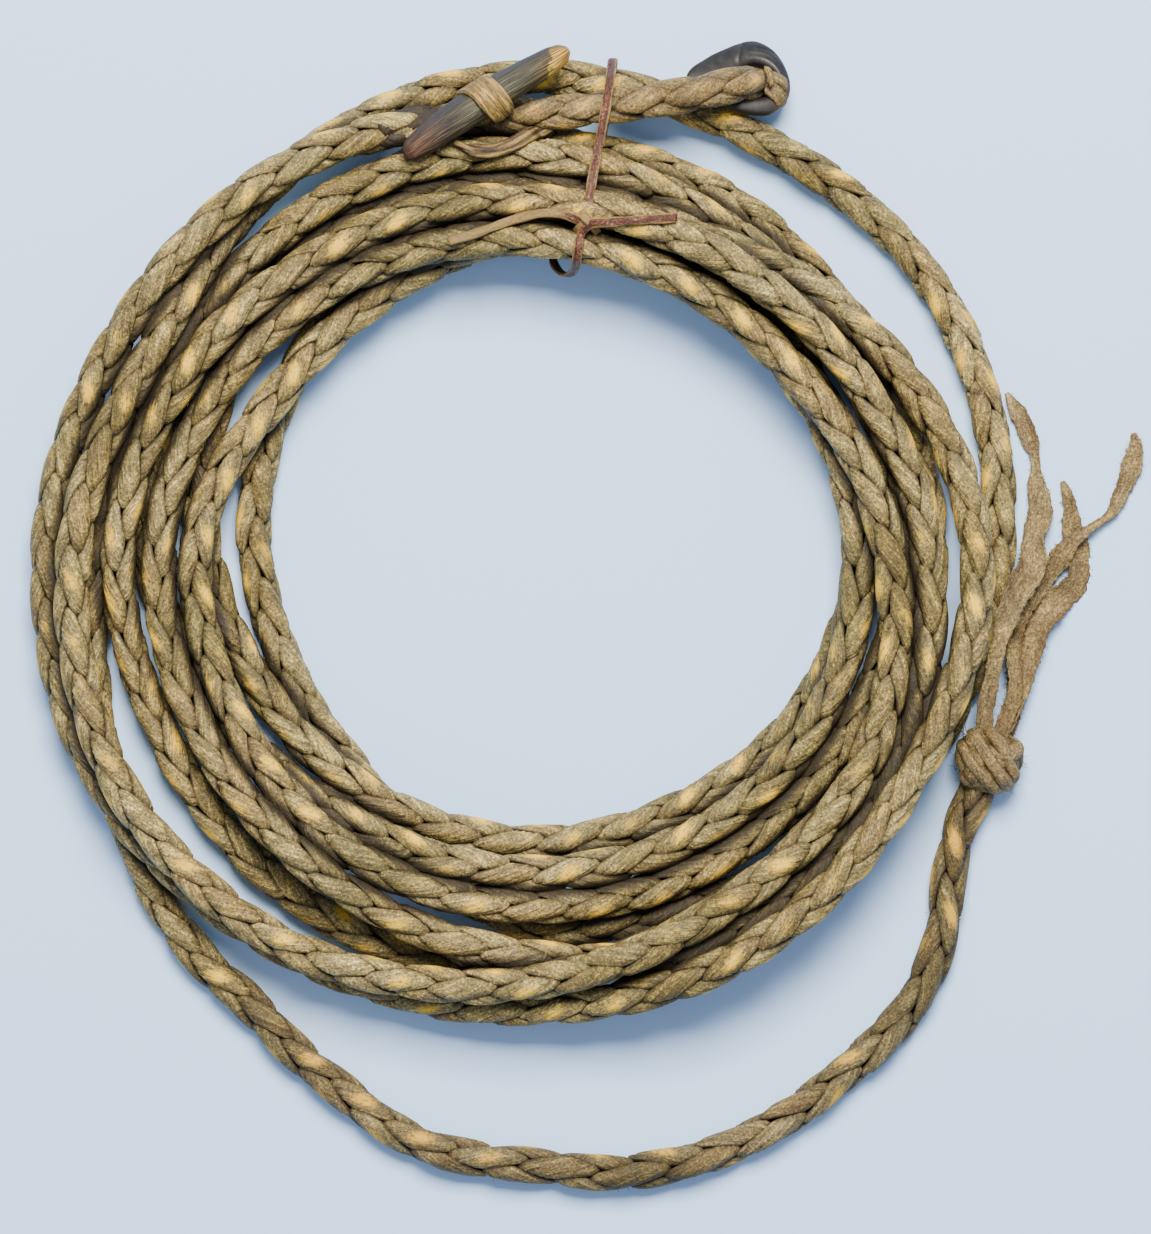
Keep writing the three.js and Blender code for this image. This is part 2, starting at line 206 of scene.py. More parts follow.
# Nodes and colours
def linear(code):
    # an sRGB hex value as linear RGBA
    parts = [int(code[place : place + 2], 16) / 255 for place in (0, 2, 4)]
    return (*(part / 12.92 if part < 0.04045 else ((part + 0.055) / 1.055) ** 2.4 for part in parts), 1)


def feed(material, node, inputs):
    # gives sockets, by name or number, their values or links; a node stands for its live output
    for name, value in inputs.items():
        if isinstance(value, bpy.types.Node):
            value = next(socket for socket in value.outputs if socket.enabled)
        if isinstance(value, bpy.types.NodeSocket):
            material.node_tree.links.new(value, node.inputs[name])
        else:
            node.inputs[name].default_value = value


def addNode(material, kind, inputs=None, stops=(), **settings):
    # adds one shader node with its settings, a ramp's stops, values and links
    node = material.node_tree.nodes.new("ShaderNode" + kind)
    for name, value in settings.items():
        setattr(node, name, value)
    for number, (place, code) in enumerate(stops):
        elements = node.color_ramp.elements
        element = elements[number] if number < 2 else elements.new(place)
        element.position, element.color = place, linear(code)
    feed(material, node, inputs or {})
    return node


def newMaterial(name, inputs):
    material = bpy.data.materials.new(name)
    material.use_nodes = True
    feed(material, material.node_tree.nodes["Principled BSDF"], inputs)
    return material


# What every hide shares unless its own finish says otherwise
commonHide = {
    "shine": 0.3,
    "streakShare": 0.3,  # how much wrinkles show in the colour, against fibres and grit
    "crackShare": 0.45,
    "toneShare": 0.6,
    # how far the painted shade goes towards the shadow colour
    "paintedShadeShare": 0.92,
    "foldDepth": 0.0008,
    "napDepth": 0.0005,
    "bodyPlaces": (0.36, 0.45, 0.54, 0.64),
    "cloudPlaces": (0.3, 0.5, 0.7),
}


def rawhide(name, ownFinish):
    # Cowhide cut in strips, braided damp and left raw: worn smooth and golden on the crowns, wrinkled
    # and fibrous lengthwise, with dirt in the pores, and painted shade that makes creases, tucks and gaps
    # near-black.
    finish = {**commonHide, **ownFinish}
    hide = newMaterial(name, {"IOR": 1.5, "Specular IOR Level": finish["shine"]})
    strip = addNode(hide, "UVMap", uv_map="strip")
    place = addNode(hide, "TexCoord").outputs["Object"]
    plait = addNode(hide, "Attribute", attribute_name="plait")
    # the plait colour holds tone, gold, and painted shade together with the odd real stain
    tone, gold, paintedShadeAndStain = addNode(hide, "SeparateColor", {0: plait}).outputs[:3]
    # strip coordinates are in centimetres: wrinkles 1.8 mm apart and 12 mm long, fibres 0.5 mm apart
    alongWrinkle = addNode(hide, "Mapping", {"Vector": strip, "Scale": (0.8, 5.5, 1)})
    wrinkle = addNode(hide, "TexNoise", {"Vector": alongWrinkle, "Scale": 1, "Detail": 3, "Distortion": 0.4})
    alongFibre = addNode(hide, "Mapping", {"Vector": strip, "Scale": (4, 20, 1)})
    fibre = addNode(hide, "TexNoise", {"Vector": alongFibre, "Scale": 1, "Detail": 3, "Roughness": 0.6})
    # grit of 1 mm, pores of 1.3 mm, drawn coarser than real so that they show, blotches of 7 mm,
    # and grime that changes every 60 mm
    grit = addNode(hide, "TexNoise", {"Vector": place, "Scale": 1050, "Detail": 2, "Roughness": 0.7})
    pores = addNode(hide, "TexNoise", {"Vector": place, "Scale": 750, "Detail": 3, "Roughness": 0.7})
    blotch = addNode(hide, "TexNoise", {"Vector": place, "Scale": 140, "Detail": 4, "Roughness": 0.65})
    grime = addNode(hide, "TexNoise", {"Vector": place, "Scale": 17, "Detail": 3})
    fine = addNode(hide, "Mix", {0: 0.62, 2: fibre, 3: grit})
    relief = addNode(hide, "Mix", {0: 1 - finish["streakShare"], 2: wrinkle, 3: fine})
    colour = addNode(hide, "ValToRGB", {0: relief}, zip(finish["bodyPlaces"], finish["body"]))
    cloud = addNode(hide, "ValToRGB", {0: blotch}, zip(finish["cloudPlaces"], finish["cloud"]))
    browner = addNode(hide, "Math", {0: tone, 1: finish["toneShare"]}, operation="MULTIPLY")
    greyer = addNode(hide, "MapRange", {0: grime, 1: 0.4, 2: 0.66, 3: 0, 4: finish["greyShare"]})
    streaky = addNode(hide, "Math", {0: fibre, 1: 0.8, 2: gold}, operation="MULTIPLY_ADD")
    worn = addNode(hide, "MapRange", {0: streaky, 1: 0.52, 2: 1.05, 3: 0, 4: finish["goldShare"]})
    specks = addNode(hide, "MapRange", {0: pores, 1: 0.54, 2: 0.66, 3: 0, 4: finish["poreShare"]})
    # thin dark wrinkles where the slow pattern crosses its middle
    crackStops = [(0.475, "000000"), (0.5, "ffffff"), (0.525, "000000")]
    crack = addNode(hide, "ValToRGB", {0: wrinkle}, crackStops)
    cracked = addNode(hide, "Math", {0: crack, 1: finish["crackShare"]}, operation="MULTIPLY")
    # painted shade: the last layer darkens tucks, plait edges, rims and gaps between turns towards the shadow
    # colour
    paintedShade = addNode(hide, "Math", {0: paintedShadeAndStain, 1: finish["paintedShadeShare"]}, operation="MULTIPLY")
    dirtAndShade = linear(finish["dirtAndShade"])
    layers = [  # from the hide up: how much of each shows, its colour and how it lies on the ones below
        (finish["cloudShare"], cloud, "OVERLAY"),
        (browner, linear(finish["brown"]), "MULTIPLY"),
        (greyer, linear(finish["grey"]), "MULTIPLY"),
        (worn, linear(finish["gold"]), "MIX"),
        (specks, dirtAndShade, "MIX"),
        (cracked, dirtAndShade, "MIX"),
        (paintedShade, linear(finish["shadow"]), "MIX"),
    ]
    for share, over, blend in layers:
        colour = addNode(hide, "Mix", {0: share, 6: colour, 7: over}, data_type="RGBA", blend_type=blend)
    rough = addNode(hide, "MapRange", {0: blotch, 1: 0.3, 2: 0.7, 3: 0.5, 4: 0.85})
    folds = addNode(hide, "Bump", {"Height": wrinkle, "Strength": 1, "Distance": finish["foldDepth"]})
    nap = addNode(hide, "Bump", {
        "Height": fine, "Strength": 1, "Distance": finish["napDepth"], "Normal": folds,
    })
    shader = hide.node_tree.nodes["Principled BSDF"]
    feed(hide, shader, {"Base Color": colour, "Roughness": rough, "Normal": nap})
    return hide


hideRope = rawhide("rawhideRope", {
    "body": ["564c31", "8c8059", "bdb082", "f7ecc0"],
    "cloud": ["524c38", "8b866a", "d6cca4"],
    "cloudShare": 0.7,
    "brown": "d2c099",
    "grey": "aeb29a",
    "greyShare": 0.8,
    "gold": "eabd3e",
    "goldShare": 0.95,
    "dirtAndShade": "41331e",
    "poreShare": 0.7,
    "shadow": "1a130a",
})
looseHide = rawhide("darkRawhide", {
    "body": ["493f29", "786d4c", "a59a71", "e0d7ae"],
    "cloud": ["5a523e", "877c63", "bdb18e"],
    "cloudShare": 0.6,
    "brown": "c2a67c",
    "grey": "a8ab94",
    "greyShare": 0.9,
    "gold": "d6a83a",
    "goldShare": 0.8,
    "dirtAndShade": "3b2f1c",
    "poreShare": 0.7,
    "shadow": "1d150c",
    "paintedShadeShare": 0.85,
    "foldDepth": 0.0009,
    "napDepth": 0.0006,
})
paleHide = rawhide("handledRawhide", {
    "shine": 0.35,
    "body": ["4a3e26", "7c7049", "ac9e6c", "e6daa6"],
    "cloud": ["5d523e", "8a7d68", "beb090"],
    "cloudShare": 0.6,
    "brown": "c9b088",
    "grey": "b3ab98",
    "greyShare": 0.7,
    "gold": "d8ac50",
    "goldShare": 0.6,
    "dirtAndShade": "3a2a1a",
    "poreShare": 0.65,
    "shadow": "1a120a",
})
keeperHide = rawhide("waxyRawhide", {
    "shine": 0.4,
    "streakShare": 0.75,
    "bodyPlaces": (0.38, 0.45, 0.53, 0.62),
    "body": ["261a0e", "594629", "917c45", "d2bc74"],
    "cloud": ["66563e", "887a60", "a89a7c"],
    "cloudShare": 0.4,
    "brown": "c6aa78",
    "grey": "b6ae98",
    "greyShare": 0.4,
    "gold": "b29145",
    "goldShare": 0.7,
    "dirtAndShade": "3a2a1a",
    "poreShare": 0.3,
    "shadow": "20160d",
    "paintedShadeShare": 0.8,
    "foldDepth": 0.0022,
    "napDepth": 0.0003,
})
laceHide = rawhide("oiledLatigo", {
    "shine": 0.35,
    "bodyPlaces": (0.38, 0.48, 0.55, 0.63),
    "body": ["2c150d", "4e2b1c", "744a33", "ad8660"],
    "cloud": ["55443c", "7c6a60", "9a897c"],
    "cloudShare": 0.4,
    "brown": "b08070",
    "toneShare": 0.4,
    "grey": "b09a90",
    "greyShare": 0.4,
    "gold": "988048",
    "goldShare": 0.7,
    "dirtAndShade": "2a1712",
    "poreShare": 0.4,
    "shadow": "1c100c",
    "paintedShadeShare": 0.8,
    "foldDepth": 0.0006,
    "napDepth": 0.0004,
})
frayedHide = rawhide("frayedRawhide", {
    "shine": 0.2,
    "streakShare": 0.2,
    "crackShare": 0.15,
    "body": ["5c523b", "877c5c", "b2a57f", "e2d7b0"],
    "cloud": ["5a5039", "85795f", "bcaf8e"],
    "cloudShare": 0.65,
    "brown": "d0b68c",
    "toneShare": 0.5,
    "grey": "b2ad9c",
    "greyShare": 0.6,
    "gold": "d0a560",
    "goldShare": 0.5,
    "dirtAndShade": "45341f",
    "poreShare": 0.55,
    "shadow": "3a2513",
    "paintedShadeShare": 0.9,
    "foldDepth": 0.0004,
    "napDepth": 0.0009,
})


def horn(name, finish):
    # Cow horn, scraped and worn to a soft polish: fine lengthwise streaks in clouded browns and greys.
    material = newMaterial(name, {
        "IOR": 1.54, "Specular IOR Level": finish["shine"], "Coat Weight": finish["coat"],
        "Coat Roughness": 0.3,
    })
    strip = addNode(material, "UVMap", uv_map="strip")
    place = addNode(material, "TexCoord").outputs["Object"]
    tint = addNode(material, "Attribute", attribute_name="plait")
    share, around = addNode(material, "SeparateColor", {0: tint}).outputs[:2]
    # clouds are 9 mm apart, and streaks follow the strip coordinates, which are in centimetres
    drawn = addNode(material, "Mapping", {"Vector": strip, "Scale": finish["streak"]})
    streak = addNode(material, "TexNoise", {"Vector": drawn, "Scale": 1, "Detail": 4, "Roughness": 0.6})
    cloud = addNode(material, "TexNoise", {"Vector": place, "Scale": 110, "Detail": 3})
    warped = addNode(material, "Math", {0: cloud, 1: finish["warp"], 2: share}, operation="MULTIPLY_ADD")
    colour = addNode(material, "ValToRGB", {0: warped}, finish["bands"])
    lines = addNode(material, "ValToRGB", {0: streak}, finish["lines"])
    edge = addNode(material, "MapRange", {0: around, 1: 0.0, 2: 0.5, 3: finish["edgeShare"], 4: 0})
    layers = [(finish["lineShare"], lines, "OVERLAY"), (edge, linear(finish["edge"]), "MIX")]
    for amount, over, blend in layers:
        colour = addNode(
            material, "Mix", {0: amount, 6: colour, 7: over}, data_type="RGBA", blend_type=blend)
    rough = addNode(material, "MapRange", {0: streak, 1: 0.3, 2: 0.7, 3: finish["smooth"], 4: finish["dull"]})
    bump = addNode(material, "Bump", {"Height": streak, "Strength": 1, "Distance": finish["depth"]})
    shader = material.node_tree.nodes["Principled BSDF"]
    feed(material, shader, {"Base Color": colour, "Roughness": rough, "Normal": bump})
    return material


toggleHorn = horn("scrapedHorn", {
    "shine": 0.3,
    "coat": 0.0,
    "streak": (0.7, 16, 1),  # 0.6 mm across and 14 mm long
    "warp": 0.22,
    # from the tip to the thick end; the clouds add about 0.11 to the place
    "bands": [
        (0.14, "5c4030"), (0.3, "503d32"), (0.44, "494537"), (0.62, "4e5042"), (0.88, "454434"),
        (0.99, "584a2c"), (1.05, "c2a648"),
    ],
    "lines": [(0.36, "1c1711"), (0.5, "7c7a74"), (0.62, "e6dfcb")],
    "lineShare": 1.0,
    "edge": "1f1812",
    "edgeShare": 0.85,
    "smooth": 0.42,
    "dull": 0.7,
    "depth": 0.0005,
})
ringHorn = horn("polishedDarkHorn", {
    "shine": 0.3,
    "coat": 0.05,
    "streak": (3, 2.4, 1),  # clouds of 4 mm, since a polished ring shows no streaks
    "warp": 0.5,
    "bands": [(0.15, "181717"), (0.35, "211f1f"), (0.6, "2a2422"), (0.9, "40301f")],
    "lines": [(0.36, "404040"), (0.5, "808080"), (0.62, "a8a8a8")],
    "lineShare": 0.35,
    "edge": "303036",
    "edgeShare": 0.0,
    "smooth": 0.38,
    "dull": 0.55,
    "depth": 0.0001,
})

# The round braid of four strips. Sizes are for the 15 mm rope; a finer braid scales them.
braid = {
    "plait": 0.0252,  # along the rope from one plait to the next that leans the same way
    "loosePlait": 0.029,  # the same where the loose end has slackened
    "rows": 14,  # mesh rows in each plait
    "topColumns": 12,
    "backColumns": (0.9, 0.4, -0.4, -0.9),
    "halfWidth": 0.0070,
    "over": 0.0058,  # radius of a strip's edges where it shows
    "under": 0.0036,
    "crown": 0.0019,
    "thickness": 0.0012,
    "lean": 0.56,  # how much of its even winding a strip keeps while it shows
    "angle": math.radians(27),
    "tuckFrom": 0.47,
    "tuckTo": 0.74,
    "skew": 0.6,
    "groove": 0.0004,
    "grooveWidth": 0.13,
    "bend": (0.36, 0.14, 0.5),  # where a strip turns under, over how much of a plait, and how far
    "crownPower": 2.4,
    "tilt": 0.0009,
    "arch": 0.0005,
    "gold": (0.17, 0.34),  # the worn patch, along and across a strip
    # painted shade towards each plait's edges: from and to which share of the half width, and how dark; and
    # likewise towards its ends
    "edges": ((0.82, 1.0, 0.85), (0.35, 0.9, 0.2)),
    "ends": (0.24, 0.46, 0.3),
    # painted shade where turns lie close: full and no shade at these distances from another turn's middle
    "dirtAndShade": (0.0093, 0.0134),
    "spot": (0.0012, 0.0034),
}


def lineFrames(points):
    lengths = runLengths(points)
    tangent = np.gradient(points, lengths, axis=0)
    tangent /= np.linalg.norm(tangent, axis=1)[:, None]
    side = np.cross(upward, tangent)
    side /= np.linalg.norm(side, axis=1)[:, None]
    return lengths, side, np.cross(tangent, side)


def along(lengths, values, places):
    return np.stack([np.interp(places, lengths, values[:, axis]) for axis in range(3)], axis=-1)


def unit(vectors):
    return vectors / np.linalg.norm(vectors, axis=-1)[..., None]


def stacked(shape, *parts):
    # values for each corner of a grid, side by side
    return np.stack([np.broadcast_to(part, shape) for part in parts], axis=-1)


def ease(value, low, high):
    part = np.clip((value - low) / (high - low), 0, 1)
    return part * part * (3 - 2 * part)


def shadeNearTurnsAndStain(corners, places):
    # painted shade near other turns, with the real stain spot: 0 to 1 for each corner, worked out for a few
    # rows at a time
    samplePlaces = runLengths(ropeLine)
    dirtAndShade = np.zeros(corners.shape[:2])
    rows, reach, ownReach = 48, 0.06, 0.09
    for first in range(0, len(corners), rows):
        here = corners[first : first + rows]
        apart = np.abs(samplePlaces - places[first : first + rows].mean())
        near = np.linalg.norm(ropeLine - here.mean(axis=(0, 1)), axis=1) < reach
        near &= apart > ownReach
        if near.any():
            gap = np.linalg.norm(here[:, :, None] - ropeLine[near], axis=-1).min(axis=-1)
            dirtAndShade[first : first + rows] = 1 - ease(gap, *braid["dirtAndShade"])
    spot = np.linalg.norm(corners[..., :2] - np.array(coil["stain"]), axis=-1)
    return np.maximum(dirtAndShade, 1 - ease(spot, *braid["spot"]))


def braidStrands(line, size, plaitAt, seed, twist):
    # for each of the four strips: its corners, their strip coordinates, and their tone, gold and painted
    # shade with the stain
    rng = np.random.default_rng(seed)
    lengths, side, up = lineFrames(line)
    counted = np.concatenate([[0], np.cumsum(np.diff(lengths) / plaitAt(lengths[:-1]))])
    rowCount = int(counted[-1] * braid["rows"]) + 1
    phase = np.linspace(0, counted[-1], rowCount)
    start = np.interp(phase, counted, lengths)
    crossTop = np.sin(np.linspace(-math.pi / 2, math.pi / 2, braid["topColumns"]))
    cross = np.concatenate([crossTop, braid["backColumns"], crossTop[:1]])
    isBack = np.zeros(len(cross), dtype=bool)
    isBack[braid["topColumns"] : -1] = True
    reference = (braid["over"] + braid["crown"]) * size
    strands = []
    for hand in (1, -1):
        for twin in (0, 1):
            shifted = phase - (0 if hand > 0 else 0.5)
            number = np.round(shifted).astype(int)
            part = shifted - number
            draws = rng.random((int(counted[-1]) + 4, 10))
            draw = draws[number + 1]
            column = (0 if hand > 0 else math.pi / 2) + math.pi * (hand * number + twin)
            bendFrom, bendOver, bendBy = braid["bend"]
            swing = np.clip((np.abs(part) - bendFrom) / bendOver, 0, 1) ** 2 * bendBy * np.sign(part)
            lean, skew = braid["lean"], braid["skew"]
            turned = hand * math.pi * (lean * part + (1 - lean) * swing)
            width = braid["halfWidth"] * size * (0.93 + 0.14 * draw[:, 0])
            across = cross[None, :] * width[:, None]
            spread = across * math.cos(braid["angle"]) / reference
            relative = turned[:, None] + spread
            tuck = np.abs(skew * hand * relative / (math.pi / 2) + (1 - skew) * 2 * part[:, None])
            depth = ease(tuck, braid["tuckFrom"], braid["tuckTo"])
            crown = braid["crown"] * size * (0.8 + 0.45 * draw[:, 1])[:, None]
            rise = crown * (1 - np.abs(cross[None, :]) ** braid["crownPower"])
            for groove in (2, 3):
                slant = 0.5 * part[:, None] * (draw[:, 4] - 0.5)[:, None]
                middle = (draw[:, groove] - 0.5)[:, None] * 1.1 + slant
                strength = braid["groove"] * size * draw[:, groove + 3][:, None]
                rise = rise - strength * np.exp(-(((cross[None, :] - middle) / braid["grooveWidth"]) ** 2))
            rise = np.where(isBack[None, :], -braid["thickness"] * size, rise)
            tilt = (draw[:, 7] - 0.5)[:, None] * braid["tilt"] * size * cross[None, :]
            arch = -braid["arch"] * size * (2 * part[:, None]) ** 2
            dive = (braid["over"] - braid["under"]) * size * depth
            radius = braid["over"] * size + (rise + tilt + arch) - dive
            place = np.clip(start[:, None] - hand * across * math.sin(braid["angle"]), 0, lengths[-1])
            angle = column[:, None] + relative + twist(place)
            corners = along(lengths, line, place)
            corners += (radius * np.cos(angle))[..., None] * along(lengths, up, place)
            corners += (radius * np.sin(angle))[..., None] * along(lengths, side, place)
            corners[..., 2] = np.maximum(corners[..., 2], 2 * lowest)
            strip = stacked(across.shape, start[:, None] * 100, across * 100 + number[:, None] * 3.7)
            goldHere = np.clip(draw[:, 8] * 2.2 - 0.7, 0, 1)[:, None]
            goldAlong, goldAcross = braid["gold"]
            patch = np.exp(-((part[:, None] / goldAlong) ** 2) - ((cross[None, :] - 0.1) / goldAcross) ** 2)
            edge = sum(dark * ease(np.abs(cross), low, high) for low, high, dark in braid["edges"])
            endFrom, endTo, endDark = braid["ends"]
            shadedBorder = np.maximum(edge[None, :], endDark * ease(np.abs(part), endFrom, endTo)[:, None])
            # painted shade: dark where the strip tucks under its neighbour, towards its edges and ends, all
            # over its hidden back and near other turns, plus the real stain spot
            paintedShadeAndStain = np.clip(np.maximum((depth - 0.15) * 1.6, shadedBorder), 0, 1)
            paintedShadeAndStain = np.where(isBack[None, :], 1.0, paintedShadeAndStain)
            paintedShadeAndStain = np.maximum(paintedShadeAndStain, shadeNearTurnsAndStain(corners, place.mean(axis=1)))
            tone = draw[:, 9][:, None]
            tint = stacked(across.shape, tone, goldHere * patch * (1 - paintedShadeAndStain), paintedShadeAndStain, 1.0)
            strands.append((corners, strip, tint))
    return start, strands


def gridPiece(name, sheets, material, node=None):
    # one piece from wrapped grids of corners, each with strip coordinates and plait colours
    shape = bmesh.new()
    for corners, _, _ in sheets:
        rows, columns = corners.shape[:2]
        bmesh.ops.create_grid(shape, x_segments=rows - 1, y_segments=columns - 1, size=1.0)
    mesh = bpy.data.meshes.new(name)
    shape.to_mesh(mesh)
    shape.free()
    grid = np.empty(len(mesh.vertices) * 3)
    mesh.vertices.foreach_get("co", grid)
    grid = (grid.reshape(-1, 3) + 1) / 2
    placed, start = ([], [], []), 0
    for sheet in sheets:
        rows, columns = sheet[0].shape[:2]
        here = grid[start : start + rows * columns]
        row = np.rint(here[:, 0] * (rows - 1)).astype(int)
        column = np.rint(here[:, 1] * (columns - 1)).astype(int)
        for values, part in zip(placed, sheet):
            values.append(part[row, column])
        start += rows * columns
    corners, strip, tint = (np.concatenate(values) for values in placed)
    corners[:, 2] = np.maximum(corners[:, 2], lowest)
    mesh.vertices.foreach_set("co", corners.ravel())
    mesh.attributes.new("plait", "FLOAT_COLOR", "POINT").data.foreach_set("color", tint.ravel())
    corner = np.empty(len(mesh.loops), dtype=int)
    mesh.loops.foreach_get("vertex_index", corner)
    layer = mesh.uv_layers[0] if mesh.uv_layers else mesh.uv_layers.new(name="strip")
    layer.name = "strip"
    layer.data.foreach_set("uv", strip[corner].ravel())
    shape = bmesh.new()
    shape.from_mesh(mesh)
    bmesh.ops.remove_doubles(shape, verts=shape.verts, dist=1e-7)
    for face in shape.faces:
        face.smooth = True
    bmesh.ops.holes_fill(shape, edges=[edge for edge in shape.edges if edge.is_boundary], sides=0)
    bmesh.ops.recalc_face_normals(shape, faces=shape.faces)
    shape.to_mesh(mesh)
    shape.free()
    mesh.materials.append(material)
    piece = newObject(name, mesh)
    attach(piece, "root")
    if node:
        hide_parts(node)
    return piece


def strap(
    line, widths, thickness, facing, tone=0.5, gold=0.0, dark=0.0, cup=0.0, sides=18, square=0.6,
    shift=0.0, rim=0.0,
):
    # A flat strip on a line. Its flat side looks along facing and cup curls its edges up; tone, gold
    # and dark may change along it, shift moves its grain and rim paints shade on its edges.
    line = np.asarray(line, dtype=float)
    rows = len(line)
    lengths = runLengths(line)
    tangent = unit(np.gradient(line, lengths, axis=0))
    across = unit(np.cross(np.broadcast_to(facing, line.shape), tangent))
    normal = np.cross(tangent, across)
    turn = np.linspace(0, 2 * math.pi, sides + 1)
    u = np.sign(np.cos(turn)) * np.abs(np.cos(turn)) ** square
    v = np.sign(np.sin(turn)) * np.abs(np.sin(turn)) ** square
    half = np.broadcast_to(np.asarray(widths, dtype=float) / 2, (rows,))[:, None]
    thick = np.minimum(np.broadcast_to(np.asarray(thickness, dtype=float) / 2, (rows,))[:, None], half)
    rise = v[None, :] * thick + np.asarray(cup) * (u[None, :] ** 2) * half
    corners = line[:, None] + across[:, None] * (u[None, :] * half)[..., None]
    corners += normal[:, None] * rise[..., None]
    strip = stacked(rise.shape, lengths[:, None] * 100, (u[None, :] * half + shift) * 100)
    # painted shade on the edges, as much as rim asks for, over the given darkness
    dark = np.maximum(np.reshape(dark, (-1, 1)), rim * ease(np.abs(u), 0.72, 1.0)[None, :])
    tint = stacked(rise.shape, np.reshape(tone, (-1, 1)), np.reshape(gold, (-1, 1)), dark, 1.0)
    return corners, strip, tint


def fibres(roots, directions, length, diameter, seed):
    # stray fibres: thin bent hairs from root points
    rng = np.random.default_rng(seed)
    hairs = []
    for root, direction in zip(roots, directions):
        aim = direction + rng.normal(0, 0.45, 3)
        aim /= np.linalg.norm(aim)
        bend = rng.normal(0, 0.35, 3) * length
        reach = length * rng.uniform(0.4, 1.0)
        steps = np.linspace(0, 1, 4)[:, None]
        line = root + aim * reach * steps + bend * steps**2
        line[:, 2] = np.maximum(line[:, 2], diameter)
        widths = diameter * np.array([1.0, 0.8, 0.6, 0.3])
        tone = rng.uniform(0, 0.5)
        hairs.append(strap(line, widths, widths, np.array([0.3, 0.2, 1.0]), tone=tone, sides=3))
    return hairs


def slowTwist(seed, size):
    # the braid turns slowly on itself, now one way and now the other
    rng = np.random.default_rng(seed)
    waves = [(rng.uniform(0.25, 0.9), rng.uniform(0, 6.28), rng.uniform(0.25, 0.5)) for _ in range(5)]
    return lambda place: sum(
        size * swing * np.sin(6.283 * place / wave + turn) for wave, turn, swing in waves)


looseLength = lineLength(smoothLine(loosePoints, 0.01))


def plaitLength(place):
    loose = 1 - ease(place, looseLength - 0.08, looseLength)
    return braid["plait"] + (braid["loosePlait"] - braid["plait"]) * loose


ropeStart, ropeStrands = braidStrands(ropeLine, 0.97, plaitLength, 11, slowTwist(5, 1.3))
stretchCount = 4
looseRows = int(np.searchsorted(ropeStart, looseLength + 0.02))
marks = [0, *np.linspace(looseRows, len(ropeStart) - 1, stretchCount + 1).astype(int)]
for number, (first, last) in enumerate(zip(marks[:-1], marks[1:])):
    loose = number == 0
    sheets = [tuple(part[first : last + 1] for part in strand) for strand in ropeStrands]
    if loose:
        # the slack end has frayed edges
        rng = np.random.default_rng(4)
        spots = [sheet[0][row, 2 + 8 * (row % 2)] for sheet in sheets for row in rng.integers(0, last, 70)]
        spots = np.array(spots)
        nearest = ropeLine[np.argmin(np.linalg.norm(spots[:, None] - ropeLine[None, :400], axis=2), axis=1)]
        sheets += fibres(spots, unit(spots - nearest), 0.0026, 0.00022, 9)
    name = "ropeLooseEnd" if loose else f"ropeStretch{number}"
    piece = gridPiece(name, sheets, looseHide if loose else hideRope)
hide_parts("rope_tail")
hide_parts("rope_coil")

# Horn ring: a flat drop with a round hole and growth ridges, its far rim tipped down to the surface.
# The outline is a radius at each sixteenth of a turn about the hole, from the right.
ring = {
    "centre": (0.068, 0.214, 0.013),
    "lean": (0.906, -0.423, 0.0),
    "tilt": math.radians(-27),
    "outline": [
        0.0136, 0.0136, 0.0147, 0.0166, 0.0182, 0.0180, 0.0190, 0.0228,
        0.0289, 0.0232, 0.0178, 0.0155, 0.0146, 0.0148, 0.0146, 0.0141,
    ],
    "hole": 0.0076,
    "thickness": 0.0062,
    "crest": math.radians(104),  # the ridge between its smooth facet and its ridged one
    "crestSlant": 0.75,
    "crestRise": 0.0016,
    "crestWidth": 0.045,
    "squareness": 0.55,
    "ridgeRise": 0.00013,
    "ridgeGap": 0.003,
    "rimDrop": 0.0012,
    "brownAt": math.radians(330),
}
ringTurn = np.array(Matrix.Rotation(ring["tilt"], 3, Vector(ring["lean"])))
ringCentre = np.array(ring["centre"])


def onRing(points):
    # ring-local points to the frame
    return np.asarray(points, dtype=float) @ ringTurn.T + ringCentre


